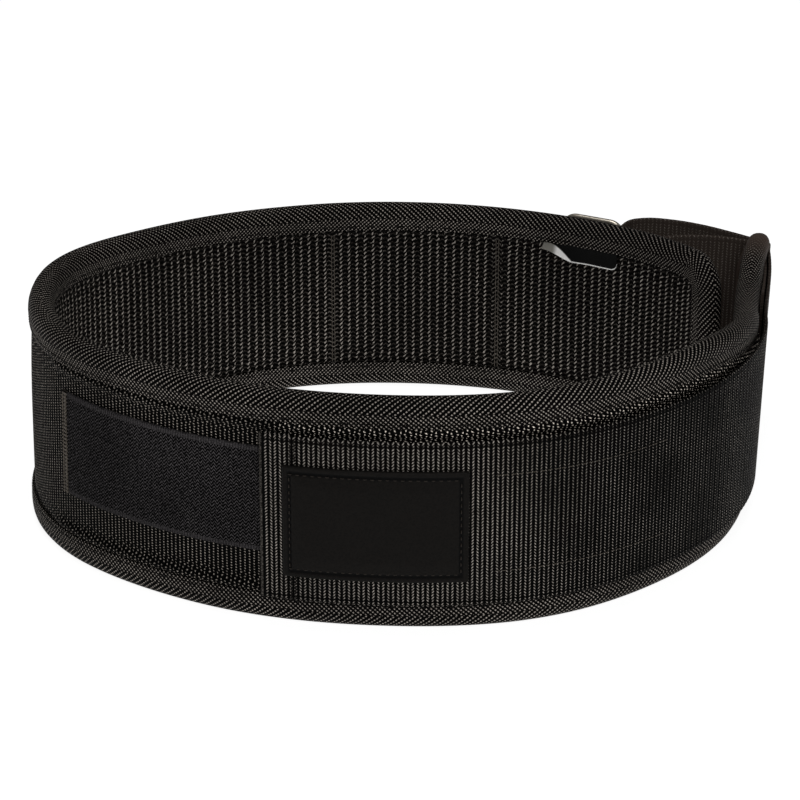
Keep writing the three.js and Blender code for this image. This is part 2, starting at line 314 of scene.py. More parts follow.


# Rows of stitches beside the binding: the ribs sway there, and each row presses a line across them, drawn dark
# as painted shade in its crease
def besideSeam(tree, u, look):
    edge = addNode(tree, "UVMap", {"uv_map": "edge"})
    gap = addNode(tree, "SeparateXYZ", links={0: edge}).outputs["X"]
    near = addNode(tree, "MapRange", smooth, {0: gap, 1: 7.0, 2: 10.5, 3: 1.0, 4: 0.0})
    turned = addNode(tree, "Math", multiplyAdd, {0: gap, 1: 2 * math.pi / look["rows"], 2: u})
    swing = addNode(tree, "Math", sine, {0: turned})
    size = addNode(tree, "Math", multiply, {0: near, 1: look["sway"]})
    swayed = addNode(tree, "Math", multiplyAdd, {0: swing, 1: size, 2: u})
    lines = threadHeight(tree, gap, look["rows"], 0.45)
    patches = addNode(tree, "TexNoise", {}, {"Vector": edge, "Scale": 0.7, "Detail": 2.0})
    broken = addNode(tree, "MapRange", {}, {0: patches, 3: 0.0, 4: look["pressed"]})
    deep = addNode(tree, "Math", multiply, {0: near, 1: broken})
    pressed = addNode(tree, "Mix", mixFloat, {0: deep, 2: 1.0, 3: lines})
    return swayed, pressed, near


# Nylon webbing with ladder ribs, woven: every rib shows as a bright line of small beads
def nylonLadderWebbing(look):
    material, tree = newMaterial("nylonLadderWebbing")
    place, u, v = clothPlace(tree)
    along = u
    u, pressed, near = besideSeam(tree, u, look)
    rib = threadHeight(tree, u, look["rib"], 2.2)
    slant = addNode(tree, "Math", multiplyAdd, {0: u, 1: 0.26, 2: v})
    bead = threadHeight(tree, slant, look["thread"], 1.5)
    ladder = addNode(tree, "Math", multiplyAdd, {0: bead, 1: 0.75, 2: 0.25})
    ribs = addNode(tree, "Math", multiply, {0: rib, 1: ladder})
    height = addNode(tree, "Math", multiply, {0: ribs, 1: pressed.outputs[0]})
    shader = finishCloth(tree, place, height, look)
    # the strip that shows between the binding and the strap lies in the shade of both, so its colour is
    # lightened there: painted light
    underStrap = addNode(tree, "MapRange", smooth, {0: along, 1: look["strip"][0], 2: look["strip"][1]})
    strip = addNode(tree, "Math", multiply, {0: underStrap, 1: near})
    paintedLight = addNode(tree, "MapRange", {}, {0: strip, 3: 1.0, 4: look["stripPaintedLight"]})
    layColour(tree, shader, tintColour, 1.0, paintedLight)
    return material


# Nylon webbing in a chevron weave: columns of slanted floats that meet in a V, with dark lines between
def nylonChevronWebbing(look):
    material, tree = newMaterial("nylonChevronWebbing")
    place, u, v = clothPlace(tree)
    half = look["column"] / 2
    fromGap = addNode(tree, "Math", pingPong, {0: u, 1: half})
    slant = addNode(tree, "Math", multiplyAdd, {0: fromGap, 1: look["slope"], 2: v})
    floats = threadHeight(tree, slant, look["thread"], 1.2)
    body = threadHeight(tree, u, look["column"], 1.0)
    groove = threadHeight(tree, u, half, 1.6)
    patches = addNode(tree, "TexNoise", {}, {"Vector": place, "Scale": 0.035, "Detail": 1.0})
    split = addNode(tree, "MapRange", {}, {0: patches, 1: 0.35, 2: 0.6, 3: 0.65, 4: 1.0})
    column = addNode(tree, "Mix", mixFloat, {0: split, 2: body, 3: groove})
    threads = addNode(tree, "Math", multiplyAdd, {0: floats, 1: 0.85, 2: 0.15})
    flat = addNode(tree, "Math", multiply, {0: column.outputs[0], 1: threads})
    # round the side of the belt its crests are drawn narrower, so that side shows darker: painted shade for the
    # side turned from the light, and for the deeper shade between threads seen at a slant
    (sideShadeFrom, sideShadeTo), (sideShadeEndFrom, sideShadeEndTo) = look["sideShade"], look["sideShadeEnd"]
    side = addNode(tree, "MapRange", smooth, {0: u, 1: sideShadeFrom, 2: sideShadeTo, 3: 0.85, 4: 2.1})
    loose = addNode(tree, "MapRange", smooth, {0: u, 1: sideShadeEndFrom, 2: sideShadeEndTo, 3: 0, 4: 1.2})
    sideShade = addNode(tree, "Math", subtract, {0: side, 1: loose})
    sideShaded = addNode(tree, "Math", toPower, {0: flat, 1: sideShade})
    # a pressed line runs just inside each selvedge
    fromMiddle = addNode(tree, "Math", absolute, {0: v})
    fromLine = addNode(tree, "Math", subtract, {0: fromMiddle, 1: look["selvedge"]})
    aside = addNode(tree, "Math", absolute, {0: fromLine})
    line = addNode(tree, "MapRange", {}, {0: aside, 1: 0.1, 2: 0.7, 3: 0.6, 4: 1.0})
    woven = addNode(tree, "Math", multiply, {0: sideShaded, 1: line})
    # the fold at the strap's end is stretched smooth, and the dark line behind it is painted shade in the
    # crease
    fromFold = addNode(tree, "Math", absolute, {0: u})
    fold = addNode(tree, "MapRange", smooth, {0: fromFold, 1: 1.7, 2: 1.3})
    creaseShade = addNode(tree, "MapRange", {}, {0: fromFold, 1: 1.7, 2: 2.4, 3: 0.0, 4: 1.0})
    shown = addNode(tree, "Math", multiply, {0: woven, 1: creaseShade})
    # and where it swings round to the ring its weave is drawn flatter and its colour browner
    swinging = addNode(tree, "MapRange", smooth, {0: u, 1: look["brownedFrom"], 2: look["brownedTo"]})
    browned = addNode(tree, "Mix", mixFloat, {0: swinging, 2: 0.0, 3: 0.36})
    soft = addNode(tree, "Mix", mixFloat, {0: browned.outputs[0], 2: shown, 3: 0.45})
    height = addNode(tree, "Mix", mixFloat, {0: fold, 2: soft.outputs[0], 3: 0.62})
    shader = finishCloth(tree, place, height.outputs[0], look)
    layColour(tree, shader, mixColour, browned, linear(look["browned"]))
    return material


# Coarse nylon lining: twisted rope ribs stand out, with fine zigzag threads between them
def nylonRopeLining(look):
    material, tree = newMaterial("nylonRopeLining")
    place, u, v = clothPlace(tree)
    along = u
    u, pressed, _ = besideSeam(tree, u, look)
    half = look["rib"] / 2
    # the rope winds a little from side to side, a turn for every two threads
    turn = addNode(tree, "Math", multiply, {0: v, 1: math.pi / look["thread"]})
    wind = addNode(tree, "Math", sine, {0: turn})
    wound = addNode(tree, "Math", multiplyAdd, {0: wind, 1: look["wind"], 2: u})
    fromRope = addNode(tree, "Math", pingPong, {0: wound, 1: half})
    rope = addNode(tree, "MapRange", smooth,
                   {0: fromRope, 1: half * 0.18, 2: half * 0.5, 3: 1.0, 4: 0.0})
    twistAt = addNode(tree, "Math", multiplyAdd, {0: u, 1: 0.9, 2: v})
    twist = threadHeight(tree, twistAt, look["thread"], 1.5)
    zigzagAt = addNode(tree, "Math", multiplyAdd, {0: fromRope, 1: -0.6, 2: v})
    zigzag = threadHeight(tree, zigzagAt, look["fine"], 1.6)
    between = addNode(tree, "Math", multiply, {0: zigzag, 1: 0.62})
    rounded = addNode(tree, "Math", multiplyAdd, {0: twist, 1: 0.85, 2: 0.15})
    ropes = addNode(tree, "Mix", mixFloat, {0: rope, 2: between, 3: rounded})
    height = addNode(tree, "Math", multiply, {0: ropes.outputs[0], 1: pressed.outputs[0]})
    # two seams run up it, each filling the space between two ropes with zigzag stitches
    filled = addNode(tree, "Math", multiply, {0: zigzag, 1: 0.72})
    for at in look["seams"]:
        fromSeam = addNode(tree, "Math", subtract, {0: along, 1: at})
        aside = addNode(tree, "Math", absolute, {0: fromSeam})
        inSeam = addNode(tree, "MapRange", smooth, {0: aside, 1: 2.9, 2: 2.1})
        height = addNode(tree, "Mix", mixFloat, {0: inSeam, 2: height, 3: filled})
    finishCloth(tree, place, height, look)
    return material


# Polyester herringbone tape, woven: rows of beads on the slant, finer where they turn back to the sewn edge
def polyesterHerringbone(look):
    material, tree = newMaterial("polyesterHerringbone")
    place, u, v = clothPlace(tree)
    fromFold = addNode(tree, "Math", absolute, {0: v})

    def twill(slope, row, thread, bold):
        rowAt = addNode(tree, "Math", multiplyAdd, {0: u, 1: slope, 2: fromFold})
        beadAt = addNode(tree, "Math", multiplyAdd, {0: fromFold, 1: -slope, 2: u})
        rows, beads = threadHeight(tree, rowAt, row, bold), threadHeight(tree, beadAt, thread, 1.4)
        floats = addNode(tree, "Math", multiplyAdd, {0: beads, 1: 0.62, 2: 0.38})
        return addNode(tree, "Math", multiply, {0: rows, 1: floats})

    coarse = twill(look["slope"], look["row"], look["thread"], 2.2)
    fine = twill(-look["slope"], look["fine"], look["fine"], 1.6)
    lower = addNode(tree, "MapRange", smooth, {0: fromFold, 1: look["stripe"] - 0.6, 2: look["stripe"] + 0.6})
    woven = addNode(tree, "Mix", mixFloat, {0: lower, 2: coarse, 3: fine})
    # round the outer end the tape is handled most: rubbed brown, with its weave almost gone
    first, last = look["browned"]
    starts = addNode(tree, "MapRange", smooth, {0: u, 1: first - 25, 2: first + 10})
    stops = addNode(tree, "MapRange", smooth, {0: u, 1: last + 25, 2: last - 10})
    handled = addNode(tree, "Math", multiply, {0: starts, 1: stops})
    worn = addNode(tree, "Math", multiply, {0: handled, 1: 0.72})
    height = addNode(tree, "Mix", mixFloat, {0: worn, 2: woven.outputs[0], 3: 0.5})
    shader = finishCloth(tree, place, height.outputs[0], look)
    layColour(tree, shader, mixColour, worn, linear(look["worn"]))
    return material


# Brushed nylon loop: matt, knitted in zigzag courses under the fuzz, with a smooth woven edge
def brushedLoop(look):
    material, tree = newMaterial("brushedLoop")
    place, u, v = clothPlace(tree)
    fuzz = addNode(tree, "TexNoise", {}, {"Vector": place, "Scale": 0.9, "Detail": 4.0, "Distortion": 0.6})
    across = addNode(tree, "Math", pingPong, {0: u, 1: look["wale"]})
    wander = addNode(tree, "Math", multiplyAdd, {0: fuzz, 1: 0.9, 2: v})
    courseAt = addNode(tree, "Math", multiplyAdd, {0: across, 1: 1.3, 2: wander})
    course = threadHeight(tree, courseAt, look["thread"], 2.0)
    lift = addNode(tree, "MapRange", {}, {0: fuzz, 1: 0.3, 2: 0.7, 3: 0.65, 4: 1.1})
    pile = addNode(tree, "Math", multiply, {0: course, 1: lift})
    fromMiddle = addNode(tree, "Math", subtract, {0: v, 1: look["middle"]})
    reach = addNode(tree, "Math", absolute, {0: fromMiddle})
    edge = addNode(tree, "MapRange", {}, {0: reach, 1: look["edgeFrom"], 2: look["edgeFrom"] + 0.3})
    ribs = threadHeight(tree, u, 1.25, 1.0)
    edgeRibs = addNode(tree, "Math", multiplyAdd, {0: ribs, 1: 0.15, 2: 0.62})
    bordered = addNode(tree, "Mix", mixFloat, {0: edge, 2: pile, 3: edgeRibs})
    # a strip of pale sewn beads down the end that lies free
    beads = threadHeight(tree, v, 1.8, 2.2)
    strip = addNode(tree, "MapRange", smooth, {0: u, 1: look["beadsTo"], 2: look["beadsTo"] - 0.5})
    height = addNode(tree, "Mix", mixFloat, {0: strip, 2: bordered.outputs[0], 3: beads})
    shader = finishCloth(tree, place, height.outputs[0], look)
    onStrip = addNode(tree, "Math", multiply, {0: strip, 1: beads})
    layColour(tree, shader, mixColour, onStrip, linear(look["bead"]))
    return material


# Moulded nylon hook tape: rows of small dark hooks
def mouldedHook(look):
    material, tree = newMaterial("mouldedHook")
    place, u, v = clothPlace(tree)
    columns = threadHeight(tree, u, look["thread"], 2.0)
    rows = threadHeight(tree, v, look["thread"], 2.0)
    height = addNode(tree, "Math", multiply, {0: columns, 1: rows})
    finishCloth(tree, place, height, look)
    return material


# Split leather, grained and sewn down: near black, pebbled, with a low satin gloss
def grainedLeather(look):
    material, tree = newMaterial("grainedLeather")
    place = addNode(tree, "UVMap", {"uv_map": "weave"})
    pebbles = addNode(tree, "TexVoronoi", {"feature": "SMOOTH_F1"},
                      {"Vector": place, "Scale": 1 / look["grain"], "Smoothness": 0.6})
    creases = addNode(tree, "TexNoise", {}, {"Vector": place, "Scale": 0.5, "Detail": 5.0, "Roughness": 0.65})
    grain = addNode(tree, "Math", multiplyAdd, {0: creases, 1: 0.8, 2: pebbles})
    bump = addNode(tree, "Bump", {}, {"Strength": 0.7, "Distance": look["relief"] / 1000, "Height": grain})
    # along the seam's groove the grain's paler tops are left out, so the groove shows darkest: painted shade
    # there
    edge = addNode(tree, "UVMap", {"uv_map": "edge"})
    fromSeam = addNode(tree, "Math", subtract, {
        0: addNode(tree, "SeparateXYZ", links={0: edge}).outputs["X"], 1: look["seam"]})
    aside = addNode(tree, "Math", absolute, {0: fromSeam})
    outsideSeamShade = addNode(tree, "MapRange", smooth, {0: aside, 1: 0.4, 2: 1.3})
    shown = addNode(tree, "Math", multiply, {0: grain, 1: outsideSeamShade})
    colour = addNode(tree, "Mix", mixColour,
                     {0: shown, 6: linear(look["dark"]), 7: linear(look["light"])})
    dull = addNode(tree, "MapRange", {}, {0: creases, 1: 0.3, 2: 0.7, 3: 0.42, 4: 0.6})
    endInShader(tree, {
        "Base Color": colour.outputs[2], "Roughness": dull, "Normal": bump, "IOR": 1.5,
        "Specular IOR Level": 0.06})
    return material


# Bonded nylon sewing thread: twisted, darker than the webbing it holds, with a waxy gloss
def bondedThread(name, look):
    material, tree = newMaterial(name)
    solid = addNode(tree, "TexCoord")
    twist = addNode(tree, "TexNoise", {}, {"Vector": solid.outputs["Object"], "Scale": 1800.0, "Detail": 2.0})
    colour = addNode(tree, "Mix", mixColour,
                     {0: twist, 6: linear(look["dark"]), 7: linear(look["light"])})
    bump = addNode(tree, "Bump", {}, {"Strength": 0.6, "Distance": 0.00008, "Height": twist})
    endInShader(tree, {
        "Base Color": colour.outputs[2], "Roughness": 0.5, "Normal": bump, "IOR": 1.53,
        "Specular IOR Level": 0.05})
    return material


# Nickel-plated steel, tumbled: bright and warm, with fine hairlines and a little bloom
def nickelSteel(look):
    material, tree = newMaterial("nickelSteel")
    solid = addNode(tree, "TexCoord")
    stretched = addNode(tree, "Mapping", {}, {0: solid.outputs["Object"], "Scale": (900, 900, 120)})
    hairlines = addNode(tree, "TexNoise", {}, {"Vector": stretched, "Scale": 1.0, "Detail": 4.0})
    bloom = addNode(tree, "TexNoise", {}, {"Vector": solid.outputs["Object"], "Scale": 90.0, "Detail": 3.0})
    colour = addNode(tree, "Mix", mixColour,
                     {0: bloom, 6: linear(look["dark"]), 7: linear(look["light"])})
    rough = addNode(tree, "MapRange", {}, {0: bloom, 1: 0.3, 2: 0.7, 3: 0.24, 4: 0.36})
    bump = addNode(tree, "Bump", {}, {"Strength": 0.25, "Distance": 0.00004, "Height": hairlines})
    endInShader(tree, {
        "Base Color": colour.outputs[2], "Roughness": rough, "Normal": bump, "Metallic": 1.0})
    return material


# Woven satin label tape: black and smooth, with a hair-fine weft; a near-white painted glare lies across its
# curled end, grey at the very end, and its lower edge is pale
def satinTape(look):
    material, tree = newMaterial("satinTape")
    place, u, v = clothPlace(tree)
    weft = threadHeight(tree, v, look["weft"], 1.0)
    folds = addNode(tree, "TexNoise", {}, {"Vector": place, "Scale": 0.12, "Detail": 2.0})
    height = addNode(tree, "Math", multiplyAdd, {0: folds, 1: 8.0, 2: weft})
    bump = addNode(tree, "Bump", {}, {"Strength": 0.5, "Distance": 0.0001, "Height": height})
    black = addNode(tree, "Mix", mixColour,
                    {0: weft, 6: linear(look["dark"]), 7: linear(look["light"])})
    greying = addNode(tree, "MapRange", smooth, {0: u, 1: look["greyFrom"], 2: look["greyFrom"] + 3})
    under = addNode(tree, "Mix", mixColour, {0: greying, 6: linear(look["glare"]), 7: linear(look["grey"])})
    # a slanted patch near the curled end is coloured near white: a painted highlight of glare on the satin
    slanted = addNode(tree, "Math", multiplyAdd, {0: v, 1: -1.5, 2: u})
    glare = addNode(tree, "MapRange", smooth, {0: slanted, 1: look["glareFrom"], 2: look["glareFrom"] + 1.5})
    hem = addNode(tree, "MapRange", smooth, {0: v, 1: 0.7, 2: 0.3})
    glareOrEdge = addNode(tree, "Math", {"operation": "MAXIMUM"}, {0: glare, 1: hem})
    colour = addNode(tree, "Mix", mixColour,
                     {0: glareOrEdge, 6: black.outputs[2], 7: under.outputs[2]})
    endInShader(tree, {
        "Base Color": colour.outputs[2], "Roughness": 0.25, "Normal": bump, "IOR": 1.5,
        "Specular IOR Level": 0.05})
    return material


# Closed-cell neoprene foam: soft black rubber with fine pores, seen only at the seams
def neopreneFoam(look):
    material, tree = newMaterial("neopreneFoam")
    solid = addNode(tree, "TexCoord")
    pores = addNode(tree, "TexVoronoi", {}, {"Vector": solid.outputs["Object"], "Scale": 1000 / look["pore"]})
    bump = addNode(tree, "Bump", {}, {"Strength": 0.5, "Distance": 0.0001, "Height": pores})
    colour = addNode(tree, "Mix", mixColour,
                     {0: pores, 6: linear(look["dark"]), 7: linear(look["light"])})
    endInShader(tree, {
        "Base Color": colour.outputs[2], "Roughness": 0.85, "Normal": bump, "IOR": 1.5})
    return material


# Sizes in millimetres. The real threads are too fine to show in the render, which loses what is closer than
# about 1.3 mm, so "thread", "fine" and "row" are drawn coarser than they are, at 1.3 to 2.5 mm
# In every cloth "gap" is the colour of the painted shade between threads, and "tip" the colour of the painted
# highlight on the crests
looks = {
    "cover": {"rib": 2.1, "thread": 1.3, "rows": 3.4, "sway": 0.3, "pressed": 0.15,
              "strip": (606, 616), "stripPaintedLight": 2.6, "gap": "#010101", "yarn": "#0f0d0c", "tip": "#aea69c",
              "highlightFrom": 0.55, "highlightTo": 1.05, "relief": 0.3, "roughness": 0.6, "gloss": 0.02},
    "strap": {"column": 4.2, "slope": 0.85, "thread": 1.4, "selvedge": 35.9,
              "sideShade": (70, 210), "sideShadeEnd": (300, 380), "brownedFrom": 250, "brownedTo": 410, "browned": "#5a4f48",
              "gap": "#010101", "yarn": "#100e0c", "tip": "#aca59d", "highlightFrom": 0.48, "highlightTo": 1.05,
              "relief": 0.3, "roughness": 0.6, "gloss": 0.02},
    "lining": {"seams": (218.4, 132.3), "rib": 4.2, "thread": 2.2, "fine": 2.3, "wind": 0.22,
               "rows": 3.4, "sway": 0.3, "pressed": 0.25, "gap": "#010101", "yarn": "#120f0d",
               "tip": "#a69f97", "highlightFrom": 0.5, "highlightTo": 1.05, "relief": 0.4, "roughness": 0.6, "gloss": 0.02},
    "binding": {"stripe": 10.0, "slope": 0.85, "row": 2.45, "thread": 1.9, "fine": 1.9,
                "browned": (beltLength - 40, beltLength + 60), "worn": "#544841",
                "gap": "#010101", "yarn": "#131010", "tip": "#aea69d", "highlightFrom": 0.47, "highlightTo": 1.05,
                "relief": 0.3, "roughness": 0.65, "gloss": 0.02},
    "loop": {"wale": 1.3, "thread": 1.6, "middle": 57, "edgeFrom": 21.9, "beadsTo": 498.6, "bead": "#6b655f",
             "gap": "#010101", "yarn": "#0e0d0e", "tip": "#524f50", "highlightFrom": 0.48, "highlightTo": 1.0,
             "relief": 0.25, "roughness": 0.8, "gloss": 0.02},
    "hook": {"thread": 1.6, "gap": "#030303", "yarn": "#171717", "tip": "#3c3c3c", "highlightFrom": 0.5,
             "highlightTo": 1.0, "relief": 0.4, "roughness": 0.5, "gloss": 0.1},
    "badge": {"grain": 0.9, "relief": 0.12, "seam": 3.1, "dark": "#010101", "light": "#100e0c"},
    "ring": {"dark": "#d8cebd", "light": "#f2eadb"},
    "label": {"weft": 0.5, "dark": "#030303", "light": "#080808", "glare": "#e2e1df", "grey": "#77756f",
              "glareFrom": 90.0, "greyFrom": 99},
    "foam": {"pore": 0.8, "dark": "#0a0a0a", "light": "#1a1a1a"},
    "thread": {"dark": "#040404", "light": "#1c1917"},
    "paleThread": {"dark": "#2b2723", "light": "#6c655c"},
    "waxedThread": {"dark": "#171412", "light": "#39342f"},
}
ladderWebbing = nylonLadderWebbing(looks["cover"])
chevronWebbing = nylonChevronWebbing(looks["strap"])
ropeLining = nylonRopeLining(looks["lining"])
herringbone = polyesterHerringbone(looks["binding"])
loopPile = brushedLoop(looks["loop"])
hookTape = mouldedHook(looks["hook"])
leather = grainedLeather(looks["badge"])
darkThread = bondedThread("darkThread", looks["thread"])
paleThread = bondedThread("paleThread", looks["paleThread"])
waxedThread = bondedThread("waxedThread", looks["waxedThread"])
steel = nickelSteel(looks["ring"])
labelTape = satinTape(looks["label"])
foam = neopreneFoam(looks["foam"])
print("materials made")


# How far a rounded corner of the belt takes its edge in, at a distance from the end
def cornerDrop(fromEnd, radius):
    reach = np.clip(radius - fromEnd, 0, radius)
    return radius - np.sqrt(radius * radius - reach * reach)


def edgeInset(along, inset):
    fromEnd = np.minimum(along, beltLength - along) - inset
    return inset + cornerDrop(fromEnd, beltForm["corner"] - inset)


def alongBelt(inset, step):
    corner = inset + (beltForm["corner"] - inset) * (1 - np.cos(np.linspace(0, math.pi / 2, 12)))
    middle = np.arange(beltForm["corner"] + step, beltLength - beltForm["corner"], step)
    return np.concatenate([corner, middle, (beltLength - corner)[::-1]])


# Rows from the lower edge to the upper, crowded where the cloth is pressed under the binding
def heightRows(share, along, inset):
    low = edgeInset(along, inset)
    return low + share * (read("height", along) - 2 * low)


padding = {"inset": 2.8, "thick": 2.8, "step": 6}


def makePadding(form):
    along = alongBelt(form["inset"], form["step"])
    share = np.linspace(0, 1, 9)
    place = lambda side: lambda u, v: onBelt(u, side * form["thick"], heightRows(v, u, form["inset"]))
    return panel("padding", along, share, place(1), place(-1), foam)


paddingPiece = finishPiece(makePadding(padding), "foam", "neoprene_core")

cover = {"inset": 6.2, "step": 0.42, "rib": 2.1, "deep": 0.32, "puff": 0.7, "rows": 13, "ridge": 2.4,
         "covered": (478, 494)}  # from there on the loop field and the strap lie over it


def makeCover(form):
    along = alongBelt(form["inset"], form["step"])
    share = np.concatenate([[0], np.linspace(0.07, 0.14, 5), np.linspace(0.2, 0.8, form["rows"] - 4),
                            np.linspace(0.86, 0.93, 5), [1]])

    def front(u, v):
        z = heightRows(v, u, form["inset"])
        rib = np.abs(np.sin(u * math.pi / form["rib"])) ** 0.8
        free = 1 - smoothStep(u, *form["covered"])
        puff = form["puff"] * free * np.sin(np.clip((v - 0.09) / 0.82, 0, 1) * math.pi) ** 0.6
        loose = smoothStep(-z, -26, -14) * free
        shaken = u + 0.5 * loose * np.sin(u / 2.7 + z / 3) * np.sin(u / 8.3)
        lift = unevenness(u, z, 0.25, 1.3) * free * (v > 0.05)
        height = read("height", u)
        lift = lift + form["ridge"] * (1 - free) * np.exp(-((np.minimum(z, height - z) - 15.2) / 1.6) ** 2)
        return onBelt(shaken, layers["skinOut"] - 0.2 + form["deep"] * (rib - 0.5) + puff + lift, z)

    def back(u, v):
        return onBelt(u, layers["skinIn"], heightRows(v, u, form["inset"]))

    return panel("outerCover", along, share, front, back, ladderWebbing)


def weaveOf(piece):
    layer = piece.data.uv_layers["weave"].data
    uv = np.empty(len(layer) * 2, np.float32)
    layer.foreach_get("uv", uv)
    return layer, uv.reshape(-1, 2)


# A second map holds how far each place is from the edge that it is sewn along
def layEdge(piece, fromEdge, along):
    edge = piece.data.uv_layers.new(name="edge")
    edge.data.foreach_set("uv", np.stack([fromEdge, along], 1).astype(np.float32).ravel())


# The weave's height runs in millimetres up the belt, and not in shares of its height
def layWeave(piece, inset):
    layer, uv = weaveOf(piece)
    uv[:, 1] = heightRows(uv[:, 1], uv[:, 0], inset)
    layer.foreach_set("uv", uv.ravel())
    fromBinding = np.minimum(uv[:, 1], read("height", uv[:, 0]) - uv[:, 1]) - layers["bindingDepth"]
    layEdge(piece, fromBinding, uv[:, 0])


coverPiece = finishPiece(makeCover(cover), "cover", "outer_cover")
layWeave(coverPiece, cover["inset"])

lining = {"inset": 6.2, "step": 0.4, "rib": looks["lining"]["rib"], "deep": 0.75, "puff": 0.6, "rows": 11,
          "seams": looks["lining"]["seams"]}


def makeLining(form):
    along = alongBelt(form["inset"], form["step"])[::-1]
    share = np.concatenate([[0], np.linspace(0.07, 0.93, form["rows"]), [1]])

    def front(u, v):
        z = heightRows(v, u, form["inset"])
        away = np.abs((u / form["rib"] + 0.5) % 1 - 0.5) * 2  # 0 on a rope, 1 midway between two
        rope = np.sqrt(np.clip(1 - (away / 0.45) ** 2, 0, 1))
        open_ = smoothStep(v, 0.06, 0.12) * smoothStep(-v, -0.94, -0.88)
        puff = form["puff"] * np.sin(np.clip((v - 0.09) / 0.82, 0, 1) * math.pi) ** 0.6
        pinch = sum(np.exp(-((u - at) / 1.6) ** 2) for at in form["seams"])
        depth = 0.1 + open_ * (puff + form["deep"] * rope * (1 - 0.6 * pinch) - 0.5 * pinch)
        return onBelt(u, -(layers["skinOut"] - 0.3 + depth), z)

    def back(u, v):
        return onBelt(u, -layers["skinIn"], heightRows(v, u, form["inset"]))

    return panel("innerLining", along, share, front, back, ropeLining)


liningPiece = finishPiece(makeLining(lining), "lining", "inner_lining")
layWeave(liningPiece, lining["inset"])
print("padding, cover and lining made")

# Half of the binding's section, from its sewn edge to the crest: distance across, and depth from the outline
binding = {
    "section": [(4.6, 12.6), (5.0, 13.0), (5.45, 12.9), (5.62, 12.3), (5.55, 11.6), (5.4, 11.0), (5.6, 10.3),
                (5.75, 9), (5.8, 7.5), (5.75, 6), (5.6, 4.7), (5.25, 3.5), (4.7, 2.4), (3.9, 1.4),
                (2.9, 0.65), (1.5, 0.12)],
    "hidden": [(-4.5, 10), (-4.4, 6), (-3.1, 2.6), (3.1, 2.6), (4.4, 6), (4.5, 10)],
    "step": 1.25, "stitch": 3.1,
}


# The outline laid flat: down the outer end, back along the bottom, up the inner end and along the top
def outlinePath(step):
    radius = beltForm["corner"]
    first, second = read("height", 0.0), read("height", beltLength)
    straight = np.arange(radius, beltLength - radius, step)
    turn = np.linspace(0, math.pi / 2, 22)
    arc = lambda along, z, start: np.stack([along + radius * np.cos(start - turn),
                                            z + radius * np.sin(start - turn)], 1)
    rise = lambda low, high: np.linspace(low, high, int(abs(high - low) / step))[1:-1]
    side = lambda along, zs: np.stack([np.full_like(zs, along), zs], 1)
    path = np.concatenate([
        np.stack([straight, read("height", straight)], 1),
        arc(beltLength - radius, second - radius, math.pi / 2),
        side(beltLength, rise(second - radius, radius)),
        arc(beltLength - radius, radius, 0),
        np.stack([straight[::-1], np.zeros_like(straight)], 1),
        arc(radius, radius, -math.pi / 2),
        side(0.0, rise(radius, first - radius)),
        arc(radius, first - radius, math.pi),
    ])
    keep = np.linalg.norm(np.diff(path, axis=0, append=path[:1]), axis=1) > 0.3
    return path[keep]


def makeBinding(form):
    path = outlinePath(form["step"])
    direction = np.roll(path, -1, 0) - np.roll(path, 1, 0)
    direction /= np.linalg.norm(direction, axis=1, keepdims=True)
    inward = np.stack([direction[:, 1], -direction[:, 0]], 1)
    length = running(np.linalg.norm(np.diff(path, axis=0), axis=1))
    whole = length[-1] + np.linalg.norm(path[0] - path[-1])
    shown = form["section"] + [(0, 0)] + [(-a, d) for a, d in form["section"][::-1]]
    section = np.array(shown + form["hidden"])
    across, depth = section[:, 0][None], section[:, 1][None]
    turn = length[:, None] * 2 * math.pi / whole
    swell = (0.16 * np.sin(31 * turn + 0.7) + 0.12 * np.sin(53 * turn + across / 6)
             + 0.1 * np.sin(17 * turn - across / 4))
    stitched = np.cos(length[:, None] * 2 * math.pi / form["stitch"])
    pucker = 0.14 * stitched * np.exp(-((depth - 11) / 0.9) ** 2)
    outer = np.arange(section.shape[0])[None] < len(shown)
    crown = np.where(outer, (swell * np.exp(-((depth - 7) / 4) ** 2) + pucker) * np.sign(across), 0)
    along = path[:, :1] + inward[:, :1] * depth
    z = path[:, 1:] + inward[:, 1:] * depth
    rings = onBelt(along, across + crown, z)
    steps = np.linalg.norm(np.diff(np.array(shown), axis=0), axis=1)
    width = running(steps)
    width = np.concatenate([width - width[-1] / 2, np.zeros(len(form["hidden"]))])
    uv = np.stack(np.broadcast_arrays(length[:, None], width[None]), -1)
    return sweep("edgeBinding", rings, uv, herringbone, loopLength=whole, sharp=80)


finishPiece(makeBinding(binding), "binding", "binding_upper", "binding_lower")
print("binding made")

# Loop field on the front left, sewn on along its woven edges
loopField = {"from": 494.0, "to": 794.0, "middle": 57.0, "height": 48.6, "out": 5.7, "fine": 614.0}


